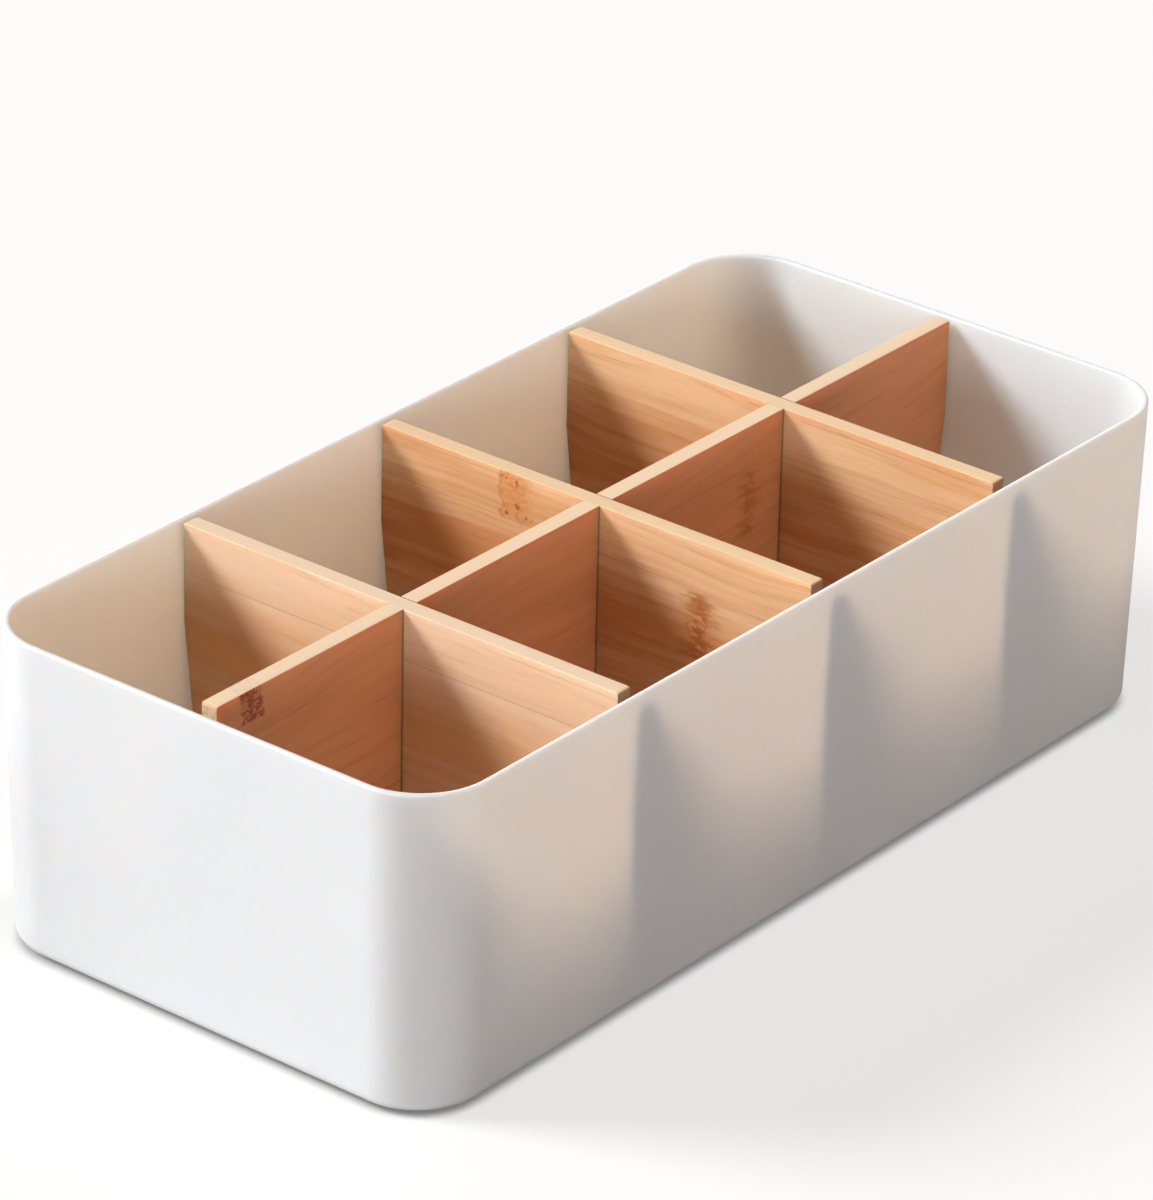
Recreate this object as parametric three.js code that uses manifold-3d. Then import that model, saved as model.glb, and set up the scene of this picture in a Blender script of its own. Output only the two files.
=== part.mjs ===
// Divided desk organizer: a moulded plastic tub, a lift-out grid of half-lapped bamboo dividers
// and four anti-slip pads under the base.
// Millimetres, +Z up. The origin lies on the standing plane under the middle of the tub.
// +X runs along the length to the rear end, +Y to the left side.

import * as THREE from 'three';
import { mergeVertices } from 'three/addons/utils/BufferGeometryUtils.js';
import Module from 'manifold-3d';

// Tub: length, width and corner radius are outside sizes at the rim
const TUB_LENGTH = 300;
const TUB_WIDTH = 145;
const TUB_HEIGHT = 86.2;
const CORNER_RADIUS = 20.5;
const WALL = 1.8;
const FLOOR_THICKNESS = 2.2;
const DRAFT_DEGREES = 1.35;
const BASE_EDGE_RADIUS = 3;
const FLOOR_FILLET = 0.6;
const LIP_RADIUS = 0.7;

// Mark that the moulding gate leaves under the base
const GATE_DIAMETER = 8;
const GATE_DEPTH = 0.6;

// Anti-slip pads: the insets run from the tub's outside at the rim to a pad's centre
const PAD_DIAMETER = 10;
const PAD_THICKNESS = 1.8;
const PAD_PROUD = 0.8;
const PAD_EDGE_RADIUS = 0.4;
const PAD_CLEARANCE = 0.3;
const PAD_INSET_X = 30;
const PAD_INSET_Y = 26;

// Bamboo dividers
const BOARD_THICKNESS = 4.8;
const BOARD_EDGE = 0.5;
const BOARD_CORNER = 1.4;
const RIM_DROP = 0.5;
const END_STRAIGHT = 27;

// Fits: plays are the whole end-to-end slack of a divider in the tub
const LONG_PLAY = 5;
const CROSS_PLAY = 3.2;
const SEAT_GAP = 0.3;
const TOE_CLEARANCE = 4.2;
const SLOT_CLEARANCE = 0.25;
const LAP_GAP = 0.5;

// Facets
const CORNER_STEPS = 14;
const ARC_STEPS = 5;
const ROUND_STEPS = 32;
const EDGE_STEPS = 2;

// Each cross divider's name, from the front end to the rear
const CROSS_NAMES = ['front_cross_divider', 'middle_cross_divider', 'rear_cross_divider'];

// Places that several pieces share
const QUARTER_TURN = Math.PI / 2;
const draft = THREE.MathUtils.degToRad(DRAFT_DEGREES);
const baseZ = PAD_PROUD;
const rimZ = baseZ + TUB_HEIGHT;
const floorZ = baseZ + FLOOR_THICKNESS;
const boardHeight = rimZ - RIM_DROP - floorZ;
const straightZ = floorZ + boardHeight - END_STRAIGHT;

// How far the outside of the wall stands inside its rim line at a height
const draftInset = (z) => (rimZ - z) * Math.tan(draft);

const innerLength = (z) => TUB_LENGTH - 2 * (WALL + draftInset(z));
const innerWidth = (z) => TUB_WIDTH - 2 * (WALL + draftInset(z));

// The dividers' straight ends are the widest thing at straightZ, so their play is measured there
const longLength = innerLength(straightZ) - LONG_PLAY;
const crossLength = innerWidth(straightZ) - CROSS_PLAY;

// The grid stands pushed against the rear and left walls
const gridX = LONG_PLAY / 2 - SEAT_GAP;
const gridY = CROSS_PLAY / 2 - SEAT_GAP;

// Equal cells along the tub
const cellCount = CROSS_NAMES.length + 1;
const cellLength = (innerLength(rimZ) - CROSS_NAMES.length * BOARD_THICKNESS) / cellCount;
const crossPitch = cellLength + BOARD_THICKNESS;
const crossOffsets = CROSS_NAMES.map((name, i) => (i - (CROSS_NAMES.length - 1) / 2) * crossPitch);

// A divider's end runs straight down, then leans in to pass the draft and the fillet at the floor
const toeInset = (straightZ - floorZ) * Math.tan(draft) + FLOOR_FILLET + TOE_CLEARANCE;

const tubPlastic = new THREE.MeshStandardMaterial({ color: 0xf1f0ee, roughness: 0.42, metalness: 0 });
const bamboo = new THREE.MeshStandardMaterial({ color: 0xe3b583, roughness: 0.55, metalness: 0 });
const padRubber = new THREE.MeshStandardMaterial({ color: 0xd8d6d2, roughness: 0.8, metalness: 0 });

const wasm = await Module();
wasm.setup();

// Solids for cutting
function toSolid(geometry) {
  const bare = geometry.clone();
  bare.deleteAttribute('normal');
  bare.deleteAttribute('uv');
  const merged = mergeVertices(bare, 1e-4);
  return new wasm.Manifold(new wasm.Mesh({
    numProp: 3,
    vertProperties: new Float32Array(merged.attributes.position.array),
    triVerts: new Uint32Array(merged.index.array),
  }));
}

function toGeometry(solid) {
  const mesh = solid.getMesh();
  const geometry = new THREE.BufferGeometry();
  geometry.setAttribute('position', new THREE.BufferAttribute(new Float32Array(mesh.vertProperties), 3));
  geometry.setIndex(new THREE.BufferAttribute(new Uint32Array(mesh.triVerts), 1));
  geometry.computeVertexNormals();
  return geometry;
}

// One arc of the wall's section as rings of inset and height, from one angle to another
function arcRings(centreInset, centreZ, radius, from, to) {
  const rings = [];
  for (let i = 0; i <= ARC_STEPS; i += 1) {
    const angle = THREE.MathUtils.lerp(from, to, i / ARC_STEPS);
    rings.push({
      inset: centreInset - radius * Math.cos(angle),
      z: centreZ + radius * Math.sin(angle),
    });
  }
  return rings;
}

// The wall's section: base edge, outer wall, lip, inner wall and floor fillet. Each arc meets the
// drafted wall at its tangent point, and every wall between two arcs is a straight stretch.
function wallSection() {
  const slope = 1 / Math.cos(draft);
  const lipZ = rimZ - LIP_RADIUS;
  const edgeZ = baseZ + BASE_EDGE_RADIUS;
  const filletZ = floorZ + FLOOR_FILLET;
  const edgeInset = draftInset(edgeZ) + BASE_EDGE_RADIUS * slope;
  const outerLipInset = draftInset(lipZ) + LIP_RADIUS * slope;
  const innerLipInset = WALL + draftInset(lipZ) - LIP_RADIUS * slope;
  const filletInset = WALL + draftInset(filletZ) + FLOOR_FILLET * slope;
  return [
    ...arcRings(edgeInset, edgeZ, BASE_EDGE_RADIUS, -QUARTER_TURN, -draft),
    ...arcRings(outerLipInset, lipZ, LIP_RADIUS, -draft, QUARTER_TURN),
    ...arcRings(innerLipInset, lipZ, LIP_RADIUS, QUARTER_TURN, Math.PI - draft),
    ...arcRings(filletInset, filletZ, FLOOR_FILLET, -draft, -QUARTER_TURN),
  ];
}

// One level of the tub's plan: a rounded rectangle drawn in by an inset, counter-clockwise
function planPoints({ inset, z }) {
  const radius = CORNER_RADIUS - inset;
  const x = TUB_LENGTH / 2 - CORNER_RADIUS;
  const y = TUB_WIDTH / 2 - CORNER_RADIUS;
  const centres = [[x, y], [-x, y], [-x, -y], [x, -y]];
  const points = [];
  centres.forEach(([cx, cy], quarter) => {
    for (let i = 0; i <= CORNER_STEPS; i += 1) {
      const angle = QUARTER_TURN * (quarter + i / CORNER_STEPS);
      points.push([cx + radius * Math.cos(angle), cy + radius * Math.sin(angle), z]);
    }
  });
  return points;
}

// Skin through a row of levels, closed by a flat face inside the first and the last one
function loft(levels) {
  const count = levels[0].length;
  const positions = levels.flat(2);
  const indices = [];
  for (let level = 0; level + 1 < levels.length; level += 1) {
    for (let i = 0; i < count; i += 1) {
      const a = level * count + i;
      const b = level * count + ((i + 1) % count);
      indices.push(a, b, b + count, a, b + count, a + count);
    }
  }
  const last = (levels.length - 1) * count;
  for (let i = 1; i + 1 < count; i += 1) {
    indices.push(0, i + 1, i, last, last + i, last + i + 1);
  }
  const geometry = new THREE.BufferGeometry();
  geometry.setAttribute('position', new THREE.Float32BufferAttribute(positions, 3));
  geometry.setIndex(indices);
  return geometry;
}

// Round recess in the base, open downwards
function baseRecess(diameter, depth, x, y) {
  const below = 1;
  const cutter = new THREE.CylinderGeometry(diameter / 2, diameter / 2, depth + below, ROUND_STEPS);
  cutter.rotateX(QUARTER_TURN);
  cutter.translate(x, y, baseZ + (depth - below) / 2);
  return toSolid(cutter);
}

const pads = [
  { name: 'front_left_pad', x: -1, y: 1 },
  { name: 'front_right_pad', x: -1, y: -1 },
  { name: 'rear_left_pad', x: 1, y: 1 },
  { name: 'rear_right_pad', x: 1, y: -1 },
].map(({ name, x, y }) => ({
  name,
  x: x * (TUB_LENGTH / 2 - PAD_INSET_X),
  y: y * (TUB_WIDTH / 2 - PAD_INSET_Y),
}));

function tubGeometry() {
  let tub = toSolid(loft(wallSection().map(planPoints)));
  tub = tub.subtract(baseRecess(GATE_DIAMETER, GATE_DEPTH, 0, 0));
  for (const { x, y } of pads) {
    const diameter = PAD_DIAMETER + 2 * PAD_CLEARANCE;
    tub = tub.subtract(baseRecess(diameter, PAD_THICKNESS - PAD_PROUD, x, y));
  }
  return toGeometry(tub);
}

// A pad with its lower edge rounded, standing on z = 0
function padGeometry() {
  const radius = PAD_DIAMETER / 2;
  const profile = [new THREE.Vector2(0, 0)];
  for (let i = 0; i <= ARC_STEPS; i += 1) {
    const angle = QUARTER_TURN * (i / ARC_STEPS - 1);
    const x = radius - PAD_EDGE_RADIUS + PAD_EDGE_RADIUS * Math.cos(angle);
    profile.push(new THREE.Vector2(x, PAD_EDGE_RADIUS * (1 + Math.sin(angle))));
  }
  profile.push(new THREE.Vector2(radius, PAD_THICKNESS), new THREE.Vector2(0, PAD_THICKNESS));
  const pad = new THREE.LatheGeometry(profile, ROUND_STEPS);
  pad.rotateX(QUARTER_TURN);
  return toGeometry(toSolid(pad));
}

// A divider's face: straight upper ends, leaning lower ends and half-depth slots along one long edge
function boardShape(length, slotCentres, slotsOpenUp) {
  const half = length / 2;
  const slotHalf = BOARD_THICKNESS / 2 + SLOT_CLEARANCE;
  const kinkHeight = boardHeight - END_STRAIGHT;
  const shape = new THREE.Shape();
  shape.moveTo(toeInset - half, 0);
  if (!slotsOpenUp) {
    const slotEnd = (boardHeight + LAP_GAP) / 2;
    for (const centre of slotCentres) {
      shape.lineTo(centre - slotHalf, 0);
      shape.lineTo(centre - slotHalf, slotEnd);
      shape.lineTo(centre + slotHalf, slotEnd);
      shape.lineTo(centre + slotHalf, 0);
    }
  }
  shape.lineTo(half - toeInset, 0);
  shape.lineTo(half, kinkHeight);
  shape.lineTo(half, boardHeight - BOARD_CORNER);
  shape.absarc(half - BOARD_CORNER, boardHeight - BOARD_CORNER, BOARD_CORNER, 0, QUARTER_TURN);
  if (slotsOpenUp) {
    const slotEnd = (boardHeight - LAP_GAP) / 2;
    for (const centre of [...slotCentres].reverse()) {
      shape.lineTo(centre + slotHalf, boardHeight);
      shape.lineTo(centre + slotHalf, slotEnd);
      shape.lineTo(centre - slotHalf, slotEnd);
      shape.lineTo(centre - slotHalf, boardHeight);
    }
  }
  shape.absarc(BOARD_CORNER - half, boardHeight - BOARD_CORNER, BOARD_CORNER, QUARTER_TURN, Math.PI);
  shape.lineTo(-half, kinkHeight);
  shape.closePath();
  return shape;
}

// A board of even thickness with all its edges eased, standing in the XZ plane
function boardGeometry(shape) {
  const board = new THREE.ExtrudeGeometry(shape, {
    depth: BOARD_THICKNESS - 2 * BOARD_EDGE,
    bevelEnabled: true,
    bevelThickness: BOARD_EDGE,
    bevelSize: BOARD_EDGE,
    bevelOffset: -BOARD_EDGE,
    bevelSegments: EDGE_STEPS,
    curveSegments: ARC_STEPS,
  });
  board.translate(0, 0, BOARD_EDGE - BOARD_THICKNESS / 2);
  board.rotateX(QUARTER_TURN);
  return board;
}

function namedMesh(name, geometry, material) {
  const mesh = new THREE.Mesh(geometry, material);
  mesh.name = name;
  return mesh;
}

// Tub and pads
const organizer = new THREE.Group();
organizer.add(namedMesh('moulded_tub', tubGeometry(), tubPlastic));
for (const { name, x, y } of pads) {
  const pad = namedMesh(name, padGeometry(), padRubber);
  pad.position.set(x, y, 0);
  organizer.add(pad);
}

// Grid: the cross dividers drop over the long one, and all of them stand on the tub's floor
const grid = new THREE.Group();
grid.position.set(gridX, gridY, floorZ);
const longShape = boardShape(longLength, crossOffsets, true);
grid.add(namedMesh('long_divider', boardGeometry(longShape), bamboo));
CROSS_NAMES.forEach((name, i) => {
  const cross = namedMesh(name, boardGeometry(boardShape(crossLength, [0], false)), bamboo);
  cross.rotation.z = QUARTER_TURN;
  cross.position.x = crossOffsets[i];
  grid.add(cross);
});
organizer.add(grid);

export default organizer;
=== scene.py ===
"""Looks of a divided desk organizer: a white moulded tub with a lift-out bamboo grid.

Everything is in metres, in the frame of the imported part: the origin lies on the standing plane
under the middle of the tub, +X runs along the tub to its rear end, +Y to its left side, +Z up.
"""

import logging
import math
from collections.abc import Callable, Sequence
from dataclasses import dataclass, field, replace
from enum import Enum
from typing import Any

import bmesh
import bpy
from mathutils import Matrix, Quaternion, Vector


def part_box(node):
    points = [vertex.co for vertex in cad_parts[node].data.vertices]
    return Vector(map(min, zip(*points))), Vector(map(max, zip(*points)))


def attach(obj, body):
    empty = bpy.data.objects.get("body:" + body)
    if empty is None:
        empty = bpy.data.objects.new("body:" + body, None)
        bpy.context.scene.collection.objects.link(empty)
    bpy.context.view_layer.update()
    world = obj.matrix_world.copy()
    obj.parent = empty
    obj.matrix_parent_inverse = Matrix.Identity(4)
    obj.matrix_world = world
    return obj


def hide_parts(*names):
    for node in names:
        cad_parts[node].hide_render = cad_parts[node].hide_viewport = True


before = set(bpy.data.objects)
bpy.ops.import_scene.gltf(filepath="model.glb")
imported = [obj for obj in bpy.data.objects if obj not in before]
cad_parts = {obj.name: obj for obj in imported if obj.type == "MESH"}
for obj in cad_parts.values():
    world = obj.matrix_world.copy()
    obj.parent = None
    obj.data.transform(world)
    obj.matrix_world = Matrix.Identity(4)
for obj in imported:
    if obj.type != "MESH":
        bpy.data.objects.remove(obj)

LOG = logging.getLogger("organizer")
MM = 0.001
TINY = 0.01 * MM
IMAGE_LONG_SIDE = 1200
SENSOR_MM = 36.0
WHITE = (1.0, 1.0, 1.0)
BLACK = (0.0, 0.0, 0.0)

Colour = tuple[float, float, float]
Point = tuple[float, float, float]
Socket = bpy.types.NodeSocket
Piece = bpy.types.Object


class GrainAxis(Enum):
    """The way that a board and its grain run in the tub."""

    ALONG = 0
    ACROSS = 1

    @property
    def other(self) -> int:
        """Index of the level axis through the board's thickness."""
        return 1 - self.value


class SlotSide(Enum):
    """The long edge that a board's slots open to."""

    UP = "up"
    DOWN = "down"


class KnuckleKind(Enum):
    """How a ring of the stalk looks where the saw cut it."""

    AMBER = "amber patch"
    BEADS = "chain of beads"
    SCORCHED = "scorched scribble"


# Edit-mode work


class EditBench:
    """A piece in edit mode, with vertices, edges and faces picked by their place or normal."""

    def __init__(self, piece: Piece) -> None:
        """Keeps the piece that is worked on."""
        self.piece = piece

    def __enter__(self) -> "EditBench":
        """Selects the piece alone and opens it in edit mode.

        Returns:
            The bench itself.
        """
        only(self.piece)
        bpy.ops.object.mode_set(mode="EDIT")
        return self

    def __exit__(self, *_: object) -> None:
        """Closes edit mode."""
        bpy.ops.object.mode_set(mode="OBJECT")

    def pick_all(self) -> None:
        """Selects the whole mesh, as vertices."""
        bpy.ops.mesh.select_mode(type="VERT")
        bpy.ops.mesh.select_all(action="SELECT")

    def pick(self, kind: str, wanted: Callable[[Any], bool]) -> int:
        """Selects the parts of the mesh that pass a test, and nothing else.

        Args:
            kind: VERT, EDGE or FACE.
            wanted: The test, which gets a bmesh vertex, edge or face.

        Returns:
            How many were selected.
        """
        bpy.ops.mesh.select_mode(type=kind)
        bpy.ops.mesh.select_all(action="DESELECT")
        mesh = bmesh.from_edit_mesh(self.piece.data)
        mesh.normal_update()
        parts = {"VERT": mesh.verts, "EDGE": mesh.edges, "FACE": mesh.faces}[kind]
        found = [part for part in parts if wanted(part)]
        for part in found:
            part.select_set(True)
        bmesh.update_edit_mesh(self.piece.data)
        return len(found)

    def bevel(self, offset: float, segments: int, affect: str = "EDGES") -> None:
        """Rounds the selected edges or vertices, also where the round meets another one."""
        bpy.ops.mesh.bevel(offset=offset, segments=segments, affect=affect, clamp_overlap=False)


def only(piece: Piece) -> None:
    """Makes a piece the active one, and selects nothing else.

    Args:
        piece: The piece that the next operators act on.
    """
    bpy.ops.object.select_all(action="DESELECT")
    piece.select_set(True)
    bpy.context.view_layer.objects.active = piece


def new_plane(name: str, size: tuple[float, float], place: Vector, upright: bool = False) -> Piece:
    """Adds a plane at its size and place, with the place in its mesh.

    Args:
        name: Name of the new piece.
        size: Its two lengths; the second one runs up where it stands upright.
        place: Its centre.
        upright: Whether it stands in the XZ plane and not level.

    Returns:
        The new piece, at the origin, unturned and unscaled.
    """
    bpy.ops.object.select_all(action="DESELECT")
    turn = (math.pi / 2, 0.0, 0.0) if upright else (0.0, 0.0, 0.0)
    bpy.ops.mesh.primitive_plane_add(size=1.0, location=place, rotation=turn)
    piece = bpy.context.active_object
    piece.name = piece.data.name = name
    piece.scale = (size[0], size[1], 1.0)
    bpy.ops.object.transform_apply(location=True, rotation=True, scale=True)
    return piece


def apply_modifier(piece: Piece, kind: str, **settings: Any) -> None:
    """Adds a modifier to a piece and applies it.

    Args:
        piece: The piece.
        kind: Blender's name of the modifier's type.
        **settings: The modifier's own settings.
    """
    only(piece)
    modifier = piece.modifiers.new(kind.lower(), kind)
    for key, value in settings.items():
        setattr(modifier, key, value)
    bpy.ops.object.modifier_apply(modifier=modifier.name)


def smooth(piece: Piece, degrees: float) -> None:
    """Shades a piece smooth up to an angle, with flat faces kept flat.

    Args:
        piece: The piece.
        degrees: Edges sharper than this stay sharp.
    """
    only(piece)
    bpy.ops.object.shade_smooth_by_angle(angle=math.radians(degrees))
    apply_modifier(piece, "WEIGHTED_NORMAL", keep_sharp=True, weight=80)


def dress(piece: Piece, finish: bpy.types.Material) -> None:
    """Gives a piece one material all over.

    Args:
        piece: The piece.
        finish: Its material.
    """
    piece.data.materials.clear()
    piece.data.materials.append(finish)


# Finishes


class NodeSheet:
    """The node tree of one finish, with short calls for the nodes that it needs."""

    def __init__(self, name: str, world: bpy.types.World | None = None) -> None:
        """Makes a material that holds a bare shader, or opens a world's nodes.

        Args:
            name: Name of the material.
            world: The world whose nodes are wanted instead.
        """
        self.material = world or bpy.data.materials.new(name)
        self.material.use_nodes = True
        self.nodes = self.material.node_tree.nodes
        self.links = self.material.node_tree.links
        self.shader = self.nodes.get("Principled BSDF")

    def feed(self, socket: Socket, value: Any) -> None:
        """Links a socket to another one, or sets its constant.

        Args:
            socket: The input.
            value: An output socket, a number or a colour.
        """
        if isinstance(value, bpy.types.NodeSocket):
            self.links.new(value, socket)
        elif socket.type == "RGBA" and len(value) == 3:
            socket.default_value = (*value, 1.0)
        else:
            socket.default_value = value

    def add(self, kind: str, inputs: dict[Any, Any] | None = None, **settings: Any) -> bpy.types.Node:
        """Adds a node.

        Args:
            kind: Blender's name of the node's type.
            inputs: Values or sockets by input name or number.
            **settings: The node's own settings.

        Returns:
            The node.
        """
        node = self.nodes.new(kind)
        for key, value in settings.items():
            setattr(node, key, value)
        for key, value in (inputs or {}).items():
            self.feed(node.inputs[key], value)
        return node

    def shade(self, **values: Any) -> None:
        """Sets the shader's sockets, named with _ for a space."""
        for key, value in values.items():
            self.feed(self.shader.inputs[key.replace("_", " ")], value)

    def math(self, operation: str, first: Any, second: Any = 0.0) -> Socket:
        """Adds a sum of two values, of the kind that operation names."""
        return self.add("ShaderNodeMath", {0: first, 1: second}, operation=operation).outputs[0]

    def product(self, *values: Any) -> Socket:
        """Multiplies two or more values.

        Args:
            *values: Sockets or numbers.

        Returns:
            Their product.
        """
        total = values[0]
        for value in values[1:]:
            total = self.math("MULTIPLY", total, value)
        return total

    def highest(self, *values: Any) -> Socket:
        """Takes the highest of some values.

        Args:
            *values: Sockets or numbers, at least one.

        Returns:
            The highest.
        """
        found = values[0]
        for value in values[1:]:
            found = self.math("MAXIMUM", found, value)
        return found

    def apart(self, first: Any, second: Any) -> Socket:
        """Takes how far two values lie apart."""
        return self.math("ABSOLUTE", self.math("SUBTRACT", first, second))

    def step(self, value: Any, low: float, high: float, start: float = 0.0, end: float = 1.0) -> Socket:
        """Adds a smooth step.

        Args:
            value: What is stepped.
            low: Where the step starts.
            high: Where it ends.
            start: Result up to low.
            end: Result from high on.

        Returns:
            The stepped value.
        """
        inputs = {"Value": value, "From Min": low, "From Max": high, "To Min": start, "To Max": end}
        return self.add("ShaderNodeMapRange", inputs, interpolation_type="SMOOTHSTEP").outputs[0]

    def stretch(self, vector: Socket, scale: Point, shift: Point = (0.0, 0.0, 0.0)) -> Socket:
        """Adds a mapping that scales a point's three lengths and then shifts them."""
        inputs = {"Vector": vector, "Scale": scale, "Location": shift}
        return self.add("ShaderNodeMapping", inputs).outputs[0]

    def noise(self, vector: Socket, scale: float = 1.0, detail: float = 2.0, rough: float = 0.5) -> Socket:
        """Adds a cloud noise from 0 to 1.

        Args:
            vector: The point that it is read at.
            scale: Bumps per unit of the point.
            detail: Number of finer layers.
            rough: Strength of the finer layers.

        Returns:
            The noise.
        """
        inputs = {"Vector": vector, "Scale": scale, "Detail": detail, "Roughness": rough}
        return self.add("ShaderNodeTexNoise", inputs).outputs["Fac"]

    def blend(self, share: Any, first: Any, second: Any, way: str = "MIX") -> Socket:
        """Adds a mix of two colours.

        Args:
            share: How much of the second colour.
            first: The first colour.
            second: The second colour.
            way: Blender's name of the mix.

        Returns:
            The mixed colour.
        """
        node = self.add("ShaderNodeMix", {0: share, 6: first, 7: second}, data_type="RGBA", blend_type=way)
        return node.outputs[2]

    def bump(
        self, height: Socket, depth: float, strength: float = 1.0, under: Socket | None = None
    ) -> Socket:
        """Adds a bump.

        Args:
            height: The height from 0 to 1.
            depth: What a height of 1 is, in metres.
            strength: Share of the bump that shows.
            under: Another bump's normal that it lies on.

        Returns:
            The bumped normal.
        """
        inputs = {"Height": height, "Distance": depth, "Strength": strength}
        if under is not None:
            inputs["Normal"] = under
        return self.add("ShaderNodeBump", inputs).outputs[0]

    def coordinates(self) -> bpy.types.Node:
        """Adds a Texture Coordinate node."""
        return self.add("ShaderNodeTexCoord")

    def parts(self, vector: Socket) -> list[Socket]:
        """Splits a vector into its X, Y and Z."""
        return list(self.add("ShaderNodeSeparateXYZ", {0: vector}).outputs)


@dataclass(frozen=True)
class Knuckle:
    """A ring of the stalk that shows on one strip of a board.

    Attributes:
        kind: How it looks.
        along: Its place on the board's level axis.
        height: Its middle above the standing plane.
        reach: Half of its height.
        width: Half of its width.
        depth: How dark it is, up to 1.
    """

    kind: KnuckleKind
    along: float
    height: float
    reach: float
    width: float
    depth: float = 1.0


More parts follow.
